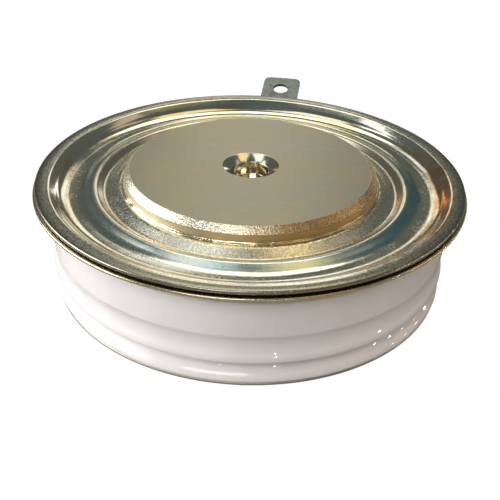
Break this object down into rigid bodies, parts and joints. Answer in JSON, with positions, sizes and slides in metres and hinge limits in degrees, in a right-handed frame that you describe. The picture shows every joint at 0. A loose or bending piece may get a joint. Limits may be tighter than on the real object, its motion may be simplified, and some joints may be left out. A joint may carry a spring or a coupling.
{
  "type": "press-pack thyristor module",
  "caption": "Disc-type power semiconductor capsule: flat pole pieces with centring holes, glazed ceramic ring with sheds, pressed convoluted lid, gate and auxiliary cathode terminal tabs.",
  "frame": {"origin": "centre of the lower contact face, the face of the lower pole piece", "axes": "+Z through the stack from the lower to the upper contact face, +Y towards the terminal tabs, +X completes the right-handed frame"},
  "size_m": [0.059, 0.067, 0.016],
  "materials": {
    "nickel_pole": "satin nickel plate on copper",
    "nickel_sheet": "bright nickel plate on pressed copper sheet",
    "flange_nickel": "nickel plate on copper sheet",
    "braze": "plated silver braze",
    "weld": "dull, cold-welded",
    "ceramic_glaze": "glossy white glaze",
    "tab_metal": "dull tinned sheet",
    "tube_metal": "plated tube",
    "silver": "soft silver",
    "gold_contact": "gold plate",
    "spring_steel": "bright wire",
    "insulator": "matt fluoropolymer",
    "molybdenum": "ground",
    "silicon": "polished silicon",
    "silicone": "cured silicone rubber"
  },
  "bodies": {
    "root": {"anode_pole": "nickel_pole", "anode_flange": "flange_nickel", "anode_braze": "braze", "ceramic_ring": "ceramic_glaze", "weld_ring": "nickel_sheet", "rim_weld": "weld", "cathode_lid": "nickel_sheet", "lid_braze": "braze", "cathode_pole": "nickel_pole", "sense_tab": "tab_metal", "gate_tube": "tube_metal", "gate_tube_braze": "braze", "gate_tab": "tab_metal", "gate_lead": "silver", "lead_sleeve": "insulator", "gate_pin": "gold_contact", "gate_spring": "spring_steel", "gate_insulator": "insulator", "gate_guide": "insulator", "cathode_plate": "molybdenum", "silicon_wafer": "silicon", "wafer_seal": "silicone", "anode_plate": "molybdenum", "anode_foil": "silver", "locating_ring": "insulator"}
  },
  "joints": []
}
